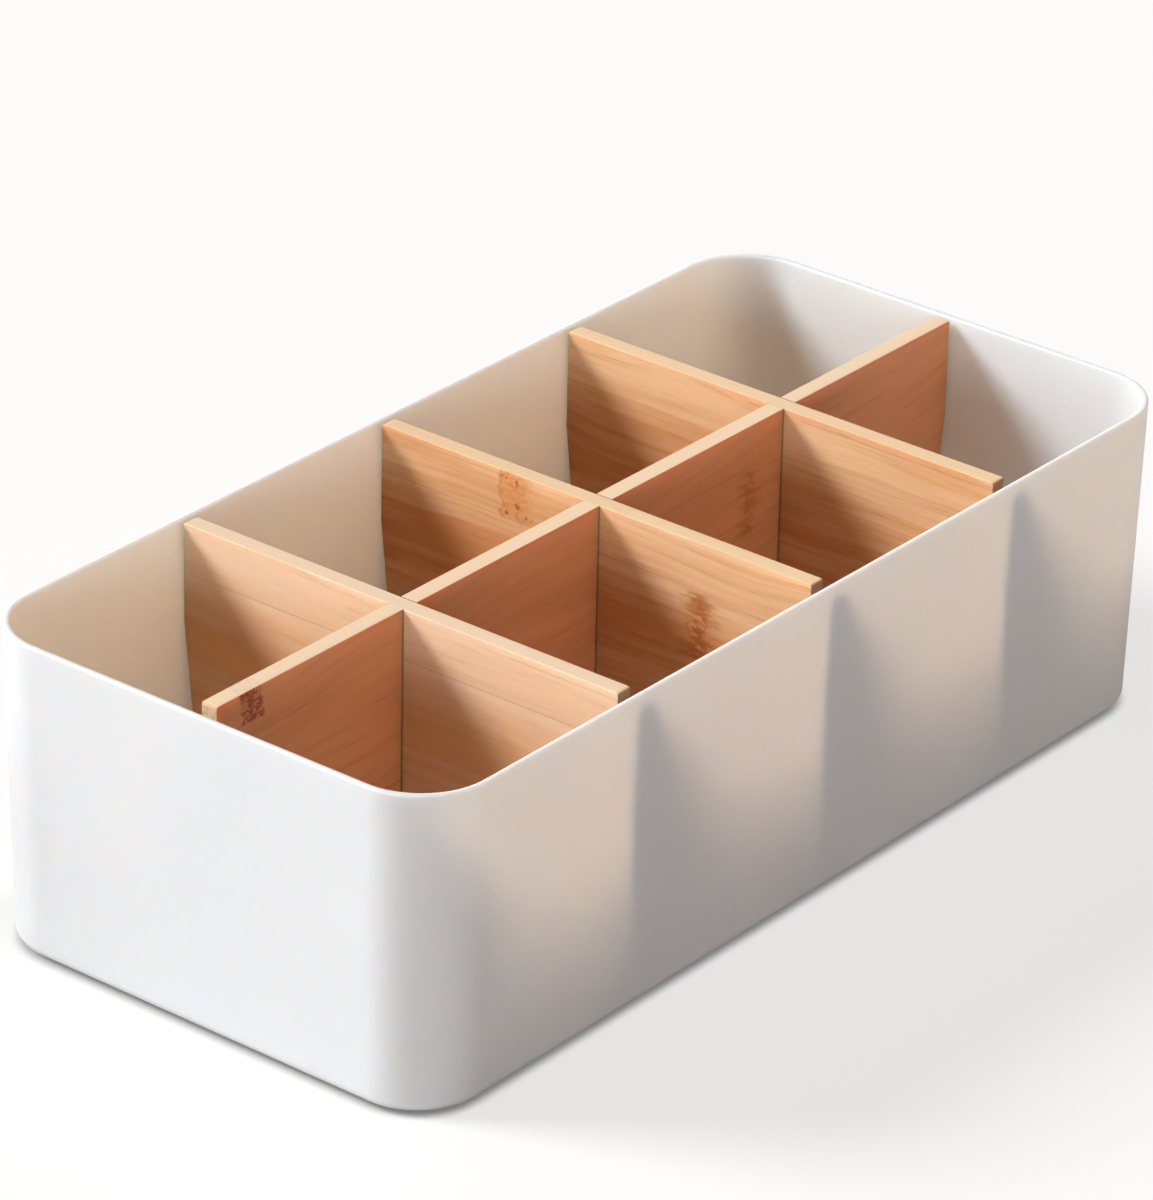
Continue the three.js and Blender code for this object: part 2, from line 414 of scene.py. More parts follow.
@dataclass(frozen=True)
class BambooFinish:
    """Sanded bamboo of glued strips, with the grain along the board.

    Attributes:
        name: Name of the material.
        grain: The way that the grain runs.
        seed: Shift of the pattern, so that no two boards look alike.
        joint_height: Height of the top glue line.
        knuckles: The rings that show.
        corners: The two sides, on the board's axis, of each board that crosses it.
        tilt: How much the grain climbs along the board.
        strip: Height of a glued strip.
        glow: How far light runs in the bamboo, in metres.
        figure: How much the grain stands out, up to 1.
        lower_strips_tone_and_shade: How much darker the board is below its top strip, up to 1: partly the
            strips' own tone, partly painted shade deeper in the tub's cells.
        far_pale: The pale tone of the face towards the rear or the left.
        far_tan: The darker tone of that face.
        lit_through: Share of the light on a face that runs through the bamboo.
        sway_pitch: Bumps per metre along, up and through the board, of the grain's slow sway.
        cloud_pitch: The same of its mottling.
        streak_pitch: The same of its streaks.
        fibre_pitch: The same of its fibres.
        pore_pitch: The same of the pores in its end grain.
    """

    name: str
    grain: GrainAxis
    seed: float
    joint_height: float
    knuckles: tuple[Knuckle, ...] = ()
    corners: tuple[tuple[float, float], ...] = ()
    tilt: float = 0.0
    strip: float = 11.5 * MM
    glow: float = 3.4 * MM
    figure: float = 1.0
    lower_strips_tone_and_shade: float = 0.62
    pale: Colour = (0.84, 0.575, 0.34)
    tan: Colour = (0.69, 0.335, 0.14)
    far_pale: Colour = (0.84, 0.58, 0.36)
    far_tan: Colour = (0.74, 0.42, 0.21)
    fibre: Colour = (0.46, 0.19, 0.065)
    amber: Colour = (0.66, 0.28, 0.075)
    stain: Colour = (0.60, 0.215, 0.04)
    bead: Colour = (0.37, 0.085, 0.015)
    scorched: Colour = (0.34, 0.05, 0.03)
    glue: Colour = (0.40, 0.17, 0.06)
    # Colour of the painted shade line in the corners where boards cross.
    joint_shade_colour: Colour = (0.16, 0.045, 0.02)
    edge: Colour = (0.87, 0.645, 0.41)
    end: Colour = (0.22, 0.095, 0.05)
    lit_through: float = 0.85
    sway_pitch: Point = (16, 22, 22)
    cloud_pitch: Point = (9, 60, 60)
    streak_pitch: Point = (14, 380, 380)
    fibre_pitch: Point = (60, 2100, 2100)
    pore_pitch: Point = (900, 900, 900)

    def make(self) -> bpy.types.Material:
        """Builds the material.

        Returns:
            The material, with its place read from object coordinates.
        """
        sheet = NodeSheet(self.name)
        source = sheet.coordinates()
        place = sheet.parts(source.outputs["Object"])
        facing = sheet.parts(source.outputs["Normal"])
        along, through, up = place[self.grain.value], place[self.grain.other], place[2]
        level = sheet.add("ShaderNodeCombineXYZ", {0: along, 1: up, 2: through}).outputs[0]
        sway = sheet.noise(sheet.stretch(level, self.sway_pitch, (self.seed, 1, 0)), detail=1)
        wavy = sheet.math("ADD", up, sheet.step(sway, 0.2, 0.8, -2.2 * MM, 2.2 * MM))
        wavy = sheet.math("SUBTRACT", wavy, sheet.product(along, self.tilt))
        point = sheet.add("ShaderNodeCombineXYZ", {0: along, 1: wavy, 2: through}).outputs[0]
        clouds = sheet.noise(sheet.stretch(point, self.cloud_pitch, (self.seed, 0, 0)), detail=3)
        drawn = sheet.stretch(point, self.streak_pitch, (self.seed, 3, 0))
        streaks = sheet.noise(drawn, detail=3, rough=0.6)
        drawn = sheet.stretch(point, self.fibre_pitch, (self.seed, 7, 0))
        fibres = sheet.noise(drawn, detail=2, rough=0.6)
        row, seam = self._strips(sheet, up, clouds)
        tone = sheet.add("ShaderNodeTexWhiteNoise", {"W": row}, noise_dimensions="1D").outputs["Value"]
        # Darker below the top strip: partly the strips' own tone, partly painted shade that falls deeper in
        # the cells.
        top_strip = (self.joint_height - self.strip, self.joint_height + 1.5 * MM)
        lower_tone_and_shade = sheet.step(up, *top_strip, self.lower_strips_tone_and_shade, 0.0)
        mottle = sheet.step(clouds, 0.3, 0.7, -0.22 * self.figure, 0.32 * self.figure)
        stripe = sheet.step(streaks, 0.32, 0.70, -0.2 * self.figure, 0.34 * self.figure)
        share = sheet.math("ADD", sheet.math("ADD", mottle, stripe), sheet.product(tone, 0.22))
        # Each face has its own tones; on the long board the face towards the right is darker and redder
        # than the other as painted shade, for it is turned from the key.
        far = sheet.step(facing[self.grain.other], 0.4, 0.6)
        pale = sheet.blend(far, self.pale, self.far_pale)
        tan = sheet.blend(far, self.tan, self.far_tan)
        colour = sheet.blend(sheet.math("ADD", share, lower_tone_and_shade), pale, tan)
        lines = sheet.product(sheet.step(fibres, 0.52, 0.74), sheet.step(streaks, 0.42, 0.62, 0.2, 1.0))
        colour = sheet.blend(sheet.product(lines, 0.45 * self.figure), colour, self.fibre)
        colour = sheet.blend(sheet.product(seam, 0.30), colour, self.glue)
        ridges = []
        for knuckle in self.knuckles:
            colour, ridge = self._knuckle(sheet, knuckle, colour, level, far)
            ridges.append(ridge)
        top = sheet.step(facing[2], 0.75, 0.95)
        colour = sheet.blend(sheet.product(top, 0.8), colour, self.edge)
        end = sheet.step(sheet.math("ABSOLUTE", facing[self.grain.value]), 0.75, 0.95)
        colour = sheet.blend(sheet.product(end, 0.9), colour, self.end)
        pores = sheet.noise(sheet.stretch(level, self.pore_pitch), detail=1)
        dots = sheet.step(pores, 0.52, 0.68, 0.0, 0.4)
        colour = sheet.blend(sheet.product(end, dots), colour, self.fibre)
        # A thin dark line along each crossing board is painted shade in the corner where the boards meet.
        joint_shade = sheet.product(self._joint_shade_line(sheet, along), sheet.math("SUBTRACT", 1.0, top))
        colour = sheet.blend(sheet.product(joint_shade, 0.6), colour, self.joint_shade_colour)
        dense = sheet.highest(top, end, joint_shade)
        relief = sheet.math("ADD", fibres, sheet.product(streaks, 0.6))
        relief = sheet.math("SUBTRACT", relief, sheet.product(seam, 0.8))
        if ridges:
            relief = sheet.math("ADD", relief, sheet.highest(*ridges))
        sheet.shade(
            Base_Color=colour,
            Roughness=sheet.step(streaks, 0.25, 0.75, 0.50, 0.66),
            Specular_IOR_Level=0.3,
            Normal=sheet.bump(relief, 0.12 * MM, 0.35),
            Subsurface_Weight=sheet.step(dense, 0.0, 1.0, self.lit_through, 0.1),
            Subsurface_Radius=(1.0, 0.28, 0.09),
            Subsurface_Scale=self.glow,
        )
        return sheet.material

    def _joint_shade_line(self, sheet: NodeSheet, along: Socket) -> Socket:
        """Finds where another board stands against this one, for a thin line of painted shade in that
        corner.

        Args:
            sheet: The finish's nodes.
            along: The place on the board's axis.

        Returns:
            1 on such a line, otherwise 0.
        """
        sides = [side for pair in self.corners for side in pair]
        lines = [sheet.step(sheet.apart(along, side), 0.1 * MM, 0.5 * MM, 1.0, 0.0) for side in sides]
        return sheet.highest(*lines)

    def _strips(self, sheet: NodeSheet, up: Socket, clouds: Socket) -> tuple[Socket, Socket]:
        """Divides the board's height into its glued strips.

        Args:
            sheet: The finish's nodes.
            up: The height above the standing plane.
            clouds: Slow noise, which lets a glue line fade in and out.

        Returns:
            The number of the strip, and how much of a glue line shows there.
        """
        count = sheet.math("DIVIDE", sheet.math("SUBTRACT", up, self.joint_height), self.strip)
        row = sheet.math("ADD", sheet.math("FLOOR", count), self.seed * 3.17)
        reach = sheet.math("PINGPONG", count, 0.5)
        line = sheet.step(reach, 0.08 * MM / self.strip, 0.38 * MM / self.strip, 1.0, 0.0)
        line = sheet.product(line, sheet.step(count, -0.7, -0.3, 0.45, 1.0))
        return row, sheet.product(line, sheet.step(clouds, 0.40, 0.62, 0.15, 0.9))

    def _knuckle(
        self, sheet: NodeSheet, ring: Knuckle, colour: Socket, level: Socket, far: Socket
    ) -> tuple[Socket, Socket]:
        """Lays one ring of the stalk over the grain.

        Args:
            sheet: The finish's nodes.
            ring: The ring.
            colour: The colour under it.
            level: The point as length along, height and depth.
            far: 1 on the face towards the rear or the left, otherwise 0.

        Returns:
            The colour with the ring, and the height of its ridge.
        """
        along, up, _ = sheet.parts(level)
        wander = sheet.noise(sheet.stretch(level, (60, 230, 60), (ring.along * 91, 0, 0)), detail=2)
        shifted = sheet.math("ADD", along, sheet.step(wander, 0.2, 0.8, -1.3 * MM, 1.3 * MM))
        off = sheet.math("SUBTRACT", shifted, ring.along)
        rise = sheet.apart(up, ring.height)
        inside = sheet.step(rise, 0.8 * ring.reach, ring.reach, 1.0, 0.0)
        if ring.kind is KnuckleKind.AMBER:
            return self._amber(sheet, ring, colour, level, off, inside)
        if ring.kind is KnuckleKind.BEADS:
            return self._beads(sheet, ring, colour, level, off, inside)
        near = sheet.math("SUBTRACT", 1.0, far)
        return self._scorch(sheet, ring, colour, level, off, sheet.product(inside, near))

    def _amber(
        self, sheet: NodeSheet, ring: Knuckle, colour: Socket, level: Socket, off: Socket, inside: Socket
    ) -> tuple[Socket, Socket]:
        """Lays an amber patch with one sharp side, curls and a few dark dots.

        Args:
            sheet: The finish's nodes.
            ring: The ring.
            colour: The colour under it.
            level: The point as length along, height and depth.
            off: How far along the board the point lies from the ring.
            inside: 1 within the ring's height, otherwise 0.

        Returns:
            The colour with the ring, and the height of its ridge.
        """
        fade = sheet.step(off, -1.5 * ring.width, -0.2 * ring.width)
        sharp = sheet.step(off, ring.width - 0.4 * MM, ring.width, 1.0, 0.0)
        patch = sheet.product(fade, sharp, inside)
        curls = sheet.noise(sheet.stretch(level, (170, 240, 120), (0, ring.along * 57, 0)), detail=2)
        near = sheet.apart(curls, 0.5)
        curl = sheet.step(near, 0.01, 0.05, 1.0, 0.0)
        specks = sheet.noise(sheet.stretch(level, (420, 420, 200), (ring.along * 31, 5, 0)), detail=1)
        shown = sheet.product(patch, sheet.math("ADD", 0.45, sheet.product(curl, 0.4)), ring.depth)
        colour = sheet.blend(shown, colour, self.amber)
        edge = sheet.apart(off, ring.width)
        rim = sheet.product(sheet.step(edge, 0.1 * MM, 0.6 * MM, 1.0, 0.0), inside, 0.4)
        dots = sheet.product(patch, sheet.step(specks, 0.64, 0.69))
        dark = sheet.highest(dots, rim)
        colour = sheet.blend(sheet.product(dark, 0.8 * ring.depth), colour, self.bead)
        return colour, sheet.product(patch, curl, 0.8)

    def _beads(
        self, sheet: NodeSheet, ring: Knuckle, colour: Socket, level: Socket, off: Socket, inside: Socket
    ) -> tuple[Socket, Socket]:
        """Lays a chain of dark beads with frayed fibres to both sides.

        Args:
            sheet: The finish's nodes.
            ring: The ring.
            colour: The colour under it.
            level: The point as length along, height and depth.
            off: How far along the board the point lies from the ring.
            inside: 1 within the ring's height, otherwise 0.

        Returns:
            The colour with the ring, and the height of its ridge.
        """
        side = sheet.math("ABSOLUTE", off)
        drawn = sheet.stretch(level, (80, 560, 200), (0, ring.along * 57, 0))
        fray = sheet.noise(drawn, detail=3, rough=0.65)
        halo = sheet.product(sheet.step(side, 0.5 * MM, ring.width, 1.0, 0.0), inside)
        lumps = sheet.noise(sheet.stretch(level, (430, 520, 200), (ring.along * 31, 5, 0)), detail=2)
        chain = sheet.product(sheet.step(side, 0.8 * MM, 4.0 * MM, 1.0, 0.0), inside)
        chain = sheet.product(chain, sheet.step(lumps, 0.42, 0.58))
        streak = sheet.product(halo, sheet.step(fray, 0.38, 0.60, 0.3, 1.0))
        colour = sheet.blend(sheet.product(streak, 0.6 * ring.depth), colour, self.stain)
        tails = sheet.product(halo, sheet.step(fray, 0.47, 0.60), 0.9)
        dark = sheet.highest(chain, tails)
        colour = sheet.blend(sheet.product(dark, 0.68 * ring.depth), colour, self.bead)
        return colour, sheet.product(chain, 1.5)

    def _scorch(
        self, sheet: NodeSheet, ring: Knuckle, colour: Socket, level: Socket, off: Socket, inside: Socket
    ) -> tuple[Socket, Socket]:
        """Lays a dark patch of scribbled strokes.

        Args:
            sheet: The finish's nodes.
            ring: The ring.
            colour: The colour under it.
            level: The point as length along, height and depth.
            off: How far along the board the point lies from the ring.
            inside: 1 within the ring's height, otherwise 0.

        Returns:
            The colour with the ring, and the height of its ridge.
        """
        side = sheet.math("ABSOLUTE", off)
        patch = sheet.product(sheet.step(side, 0.8 * ring.width, 1.05 * ring.width, 1.0, 0.0), inside)
        lines = []
        for turn, pitch in enumerate(((440, 240, 200), (260, 410, 200))):
            strokes = sheet.noise(sheet.stretch(level, pitch, (turn, ring.along * 57, 0)), detail=2)
            lines.append(sheet.step(sheet.apart(strokes, 0.5), 0.018, 0.055, 1.0, 0.0))
        scribble = sheet.product(patch, sheet.highest(*lines))
        colour = sheet.blend(sheet.product(patch, 0.3 * ring.depth), colour, self.bead)
        colour = sheet.blend(sheet.product(scribble, 0.85 * ring.depth), colour, self.scorched)
        return colour, sheet.product(scribble, 0.8)


@dataclass(frozen=True)
class TubPlastic:
    """Satin white moulded plastic that lets some light through its thin wall.

    Attributes:
        name: Name of the material.
        white: Its colour.
        warm: The colour of its faint mottling.
        scuffed: The colour of its scuffed foot.
        depth: How far light runs in it, in metres.
        rim_height: Height of the lip, which handling has polished.
        base_height: Height of the base edge, which standing has scuffed.
    """

    name: str
    rim_height: float
    base_height: float
    white: Colour = (0.885, 0.884, 0.880)
    warm: Colour = (0.872, 0.866, 0.856)
    scuffed: Colour = (0.72, 0.70, 0.67)
    depth: float = 6.5 * MM

    def make(self) -> bpy.types.Material:
        """Builds the material.

        Returns:
            The material, with its place read from object coordinates.
        """
        sheet = NodeSheet(self.name)
        point = sheet.coordinates().outputs["Object"]
        height = sheet.parts(point)[2]
        mottle = sheet.noise(point, scale=14.0, detail=3)
        grain = sheet.noise(point, scale=2600.0, detail=1)
        drift = sheet.noise(point, scale=60.0, detail=2)
        rubs = sheet.noise(sheet.stretch(point, (60, 60, 900)), detail=3, rough=0.7)
        lip = sheet.step(height, self.rim_height - 1.2 * MM, self.rim_height - 0.2 * MM)
        foot = sheet.step(height, self.base_height + 0.5 * MM, self.base_height + 5 * MM, 1.0, 0.0)
        scuff = sheet.product(foot, sheet.step(rubs, 0.55, 0.7))
        colour = sheet.blend(sheet.step(mottle, 0.3, 0.7), self.white, self.warm)
        colour = sheet.blend(sheet.product(scuff, 0.25), colour, self.scuffed)
        satin = sheet.step(drift, 0.25, 0.75, 0.38, 0.47)
        satin = sheet.math("SUBTRACT", satin, sheet.product(lip, 0.08))
        satin = sheet.math("ADD", satin, sheet.product(scuff, 0.15))
        sheet.shade(
            Base_Color=colour,
            Roughness=satin,
            Normal=sheet.bump(grain, 0.03 * MM, 0.25, sheet.bump(drift, 0.15 * MM, 0.15)),
            Subsurface_Weight=1.0,
            Subsurface_Radius=(1.0, 0.70, 0.49),
            Subsurface_Scale=self.depth,
        )
        return sheet.material


@dataclass(frozen=True)
class PadRubber:
    """Matt milky rubber of the pads under the base.

    Attributes:
        name: Name of the material.
        milky: Its colour.
        dusty: The colour of what has stuck to it.
    """

    name: str
    milky: Colour = (0.70, 0.69, 0.66)
    dusty: Colour = (0.52, 0.50, 0.47)

    def make(self) -> bpy.types.Material:
        """Builds the material.

        Returns:
            The material, with its place read from object coordinates.
        """
        sheet = NodeSheet(self.name)
        point = sheet.coordinates().outputs["Object"]
        dust = sheet.noise(point, scale=700.0, detail=3, rough=0.7)
        skin = sheet.noise(point, scale=2600.0, detail=2)
        sheet.shade(
            Base_Color=sheet.blend(sheet.step(dust, 0.45, 0.7, 0.0, 0.6), self.milky, self.dusty),
            Roughness=sheet.step(dust, 0.3, 0.7, 0.62, 0.85),
            Normal=sheet.bump(skin, 0.05 * MM, 0.4),
        )
        return sheet.material


# Sub-assemblies


@dataclass
class MouldedTub:
    """The tub: drafted walls with round corners, a rolled lip, a flat base and recesses under it.

    Attributes:
        node: The CAD node that it stands for.
        pads: The CAD nodes of the pads that sit in its recesses.
    """

    node: str = "moulded_tub"
    body: str = "tub"
    slot: str = "tub_plastic"
    pads: tuple[str, ...] = ()
    corner_radius: float = 20.5 * MM
    corner_segments: int = 24
    wall: float = 1.8 * MM
    floor: float = 2.2 * MM
    draft: float = math.radians(1.35)
    base_edge: float = 3.0 * MM
    floor_fillet: float = 0.6 * MM
    lip: float = 0.7 * MM
    edge_segments: int = 5
    base_segments: int = 8
    pad_clearance: float = 0.3 * MM
    gate_radius: float = 4.0 * MM
    gate_depth: float = 0.6 * MM
    low: Vector = field(init=False)
    high: Vector = field(init=False)

    def __post_init__(self) -> None:
        """Reads the tub's box from the frame."""
        self.low, self.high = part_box(self.node)

    @property
    def height(self) -> float:
        """Height of the tub itself, without the pads."""
        return self.high.z - self.low.z

    def build(self) -> Piece:
        """Models the tub and dresses it.

        Returns:
            The finished piece, riding on its body.
        """
        size = (self.high.x - self.low.x, self.high.y - self.low.y)
        middle = (self.low + self.high) / 2
        tub = new_plane("tub_shell", size, Vector((middle.x, middle.y, self.high.z)))
        self._draw_down(tub)
        apply_modifier(tub, "SOLIDIFY", thickness=self.wall, offset=-1.0, use_even_offset=True)
        self._round_edges(tub)
        for centre, radius, depth in self._recesses():
            self._cut(tub, centre, radius, depth)
        smooth(tub, 32)
        dress(tub, TubPlastic("satin_white_plastic", self.high.z, self.low.z).make())
        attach(tub, self.body)
        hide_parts(self.node)
        return tub

    def _draw_down(self, tub: Piece) -> None:
        """Rounds the rim's plan and draws it down to the base, narrower by the draft.

        Args:
            tub: The piece that is shaped.
        """
        with EditBench(tub) as bench:
            bench.pick_all()
            bench.bevel(self.corner_radius, self.corner_segments, "VERTICES")
            bench.pick("FACE", lambda face: True)
            bpy.ops.mesh.inset(thickness=self.height * math.tan(self.draft), use_even_offset=True)
            bpy.ops.transform.translate(value=(0.0, 0.0, -self.height))
            bench.pick_all()
            bpy.ops.mesh.flip_normals()

    def _round_edges(self, tub: Piece) -> None:
        """Brings the floor to its thickness and rounds the base edge, the floor's corner and the lip.

        Args:
            tub: The piece that is shaped.
        """
        middle_z = (self.low.z + self.high.z) / 2

        def is_flat(face: bmesh.types.BMFace) -> bool:
            """Tells a level face from a wall."""
            return abs(face.normal.z) > 0.9

        def turns(edge: bmesh.types.BMEdge) -> bool:
            """Finds an edge where a wall meets a level face."""
            return sum(is_flat(face) for face in edge.link_faces) == 1

        with EditBench(tub) as bench:
            bench.pick("FACE", lambda f: f.normal.z > 0.9 and f.calc_center_median().z < middle_z)
            bpy.ops.transform.translate(value=(0.0, 0.0, self.floor - self.wall))
            bench.pick("VERT", lambda v: v.co.z > middle_z)
            rim = (0.0, 0.0, self.high.z)
            bpy.ops.transform.resize(value=(1.0, 1.0, 0.0), center_override=rim)
            bench.pick("EDGE", lambda e: turns(e) and e.verts[0].co.z > middle_z)
            bench.bevel(self.lip, self.edge_segments)
            base_top = self.low.z + self.floor / 2
            bench.pick("EDGE", lambda e: turns(e) and e.verts[0].co.z < base_top)
            bench.bevel(self.base_edge, self.base_segments)
            floor_z = self.low.z + self.floor
            bench.pick("EDGE", lambda e: turns(e) and abs(e.verts[0].co.z - floor_z) < 0.1 * MM)
            bench.bevel(self.floor_fillet, self.edge_segments)

    def _recesses(self) -> list[tuple[Vector, float, float]]:
        """Lists the round recesses under the base.

        Returns:
            Centre on the base, radius and depth of each.
        """
        found = [(Vector((0.0, 0.0, self.low.z)), self.gate_radius, self.gate_depth)]
        for pad in self.pads:
            low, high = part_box(pad)
            centre = (low + high) / 2
            radius = (high.x - low.x) / 2 + self.pad_clearance
            found.append((Vector((centre.x, centre.y, self.low.z)), radius, high.z - self.low.z))
        return found

    def _cut(self, tub: Piece, centre: Vector, radius: float, depth: float) -> None:
        """Cuts a round recess upwards into the base.

        Args:
            tub: The piece that is cut.
            centre: Middle of the recess, on the base.
            radius: Its radius.
            depth: Its depth.
        """
        bpy.ops.object.select_all(action="DESELECT")
        bpy.ops.mesh.primitive_cylinder_add(vertices=64, radius=radius, depth=2 * depth, location=centre)
        cutter = bpy.context.active_object
        apply_modifier(tub, "BOOLEAN", operation="DIFFERENCE", solver="EXACT", object=cutter)
        bpy.data.objects.remove(cutter)


@dataclass
class BambooBoard:
    """One board of the grid: straight upper ends, leaning lower ends and half-depth slots.

    Attributes:
        node: The CAD node that it stands for.
        body: The CAD body that it rides on.
        finish: Its bamboo.
        slots: The side that its slots open to.
        crossing: The CAD nodes of the boards that its slots hold.
    """

    node: str
    body: str
    finish: BambooFinish
    slots: SlotSide
    crossing: Sequence[str]
    slot: str = "bamboo"
    slot_clearance: float = 0.15 * MM
    lap_gap: float = 0.5 * MM
    end_straight: float = 27 * MM
    toe_inset: float = 6.13 * MM
    corner: float = 0.6 * MM
    eased: float = 0.22 * MM
    corner_segments: int = 6
    eased_segments: int = 3
    low: Vector = field(init=False)
    high: Vector = field(init=False)

    def __post_init__(self) -> None:
        """Reads the board's box from the frame."""
        self.low, self.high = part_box(self.node)

    @property
    def axis(self) -> int:
        """Index of the axis that the board runs along."""
        return self.finish.grain.value

    @property
    def half(self) -> float:
        """Half of the board's length."""
        return (self.high[self.axis] - self.low[self.axis]) / 2

    @property
    def thickness(self) -> float:
        """The board's thickness."""
        other = self.finish.grain.other
        return self.high[other] - self.low[other]

    def build(self) -> Piece:
        """Models the board and dresses it.

        Returns:
            The finished piece, riding on its body.
        """
        middle = (self.low + self.high) / 2
        size = (2 * self.half, self.high.z - self.low.z)
        board = new_plane(self.node + "_board", size, Vector((0.0, 0.0, middle.z)), upright=True)
        self._saw(board)
        self._thicken(board)
        board.rotation_euler.z = math.pi / 2 if self.finish.grain is GrainAxis.ACROSS else 0.0
        board.location = (middle.x, middle.y, 0.0)
        only(board)
        bpy.ops.object.transform_apply(location=True, rotation=True, scale=True)
        smooth(board, 40)
        dress(board, replace(self.finish, corners=self._crossings()).make())
        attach(board, self.body)
        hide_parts(self.node)
        return board

    def _crossings(self) -> tuple[tuple[float, float], ...]:
        """Lists the two sides of each board that crosses this one, on this board's axis."""
        boxes = [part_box(name) for name in self.crossing]
        return tuple((low[self.axis], high[self.axis]) for low, high in boxes)

    def _slot_places(self) -> list[tuple[float, float]]:
        """Lists each slot's two sides along the board, from the board's middle.

        Returns:
            Low and high side of each slot.
        """
        middle = (self.low[self.axis] + self.high[self.axis]) / 2
        play = self.slot_clearance
        return [(low - play - middle, high + play - middle) for low, high in self._crossings()]

    def _saw(self, board: Piece) -> None:
        """Saws the slots and the leaning ends, and rounds the top corners.

        Args:
            board: The piece that is shaped.
        """
        kink = self.high.z - self.end_straight
        lap = (self.low.z + self.high.z) / 2
        lap += self.lap_gap / 2 if self.slots is SlotSide.DOWN else -self.lap_gap / 2
        places = self._slot_places()

        def in_slot(face: bmesh.types.BMFace) -> bool:
            """Finds the faces that the slots take away.

            Args:
                face: A face of the flat board.

            Returns:
                Whether it lies in a slot.
            """
            centre = face.calc_center_median()
            level = centre.z > lap if self.slots is SlotSide.UP else centre.z < lap
            return level and any(low < centre.x < high for low, high in places)

        with EditBench(board) as bench:
            self._bisect(bench, (0.0, 0.0, kink), (0.0, 0.0, 1.0))
            for side in (-1, 1):
                bench.pick("VERT", lambda v: v.co.z < self.low.z + TINY and v.co.x * side > 0)
                bpy.ops.transform.translate(value=(-side * self.toe_inset, 0.0, 0.0))
            self._bisect(bench, (0.0, 0.0, lap), (0.0, 0.0, 1.0))
            for low, high in places:
                for side in (low, high):
                    self._bisect(bench, (side, 0.0, 0.0), (1.0, 0.0, 0.0))
            bench.pick("FACE", in_slot)
            bpy.ops.mesh.delete(type="FACE")
            bench.pick_all()
            bpy.ops.mesh.dissolve_limited(angle_limit=math.radians(0.5))
            bench.pick("VERT", lambda v: v.co.z > self.high.z - TINY and abs(v.co.x) > self.half - TINY)
            bench.bevel(self.corner, self.corner_segments, "VERTICES")

    def _bisect(self, bench: EditBench, place: Point, normal: Point) -> None:
        """Cuts the whole face along a plane, and keeps both sides."""
        bench.pick_all()
        bpy.ops.mesh.bisect(plane_co=place, plane_no=normal)

    def _thicken(self, board: Piece) -> None:
        """Gives the sawn face its thickness and eases its sharp edges outside the slots.

        Args:
            board: The piece that is shaped.
        """
        apply_modifier(board, "SOLIDIFY", thickness=self.thickness, offset=0.0)
        places = self._slot_places()

        def in_slot(vertex: bmesh.types.BMVert) -> bool:
            """Finds the points on a slot's sides."""
            return any(low - TINY < vertex.co.x < high + TINY for low, high in places)

        def is_eased(edge: bmesh.types.BMEdge) -> bool:
            """Finds the sharp edges outside the slots."""
            sharp = edge.calc_face_angle(0.0) > math.radians(30)
            return sharp and not all(in_slot(vertex) for vertex in edge.verts)

        with EditBench(board) as bench:
            bench.pick("EDGE", is_eased)
            bench.bevel(self.eased, self.eased_segments)


@dataclass
class AntiSlipPads:
    """The four round pads in the recesses under the base, one modelled and the others copied.

    Attributes:
        nodes: The CAD nodes that they stand for.
    """

    nodes: tuple[str, ...]
    body: str = "tub"
    slot: str = "pad_rubber"
    edge: float = 0.4 * MM
    edge_segments: int = 5

    def build(self) -> list[Piece]:
        """Models the pads and dresses them.

        Returns:
            The finished pieces, riding on the tub.
        """
        finish = PadRubber("milky_pad_rubber").make()
        first = self._turn()
        pads = []
        for node in self.nodes:
            pad = first if node == self.nodes[0] else first.copy()
            if pad is not first:
                pad.data = first.data.copy()
                bpy.context.scene.collection.objects.link(pad)
            pad.name = pad.data.name = node + "_rubber"
            pads.append(pad)
        for pad, node in zip(pads, self.nodes):
            low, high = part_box(node)
            only(pad)
            pad.location = ((low.x + high.x) / 2, (low.y + high.y) / 2, 0.0)
            bpy.ops.object.transform_apply(location=True, rotation=True, scale=True)
            dress(pad, finish)
            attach(pad, self.body)
            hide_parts(node)
        return pads

    def _turn(self) -> Piece:
        """Models one pad around the Z axis.

        Returns:
            The pad, standing on the standing plane at the origin.
        """
        low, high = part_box(self.nodes[0])
        radius, thickness = (high.x - low.x) / 2, high.z - low.z
        bpy.ops.object.select_all(action="DESELECT")
        bpy.ops.mesh.primitive_cylinder_add(
            vertices=64, radius=radius, depth=thickness, location=(0.0, 0.0, low.z + thickness / 2)
        )
        pad = bpy.context.active_object
        bpy.ops.object.transform_apply(location=True, rotation=True, scale=True)
        with EditBench(pad) as bench:
            bench.pick("EDGE", lambda e: all(v.co.z < low.z + TINY for v in e.verts))
            bench.bevel(self.edge, self.edge_segments)
        smooth(pad, 40)
        return pad


# Stage


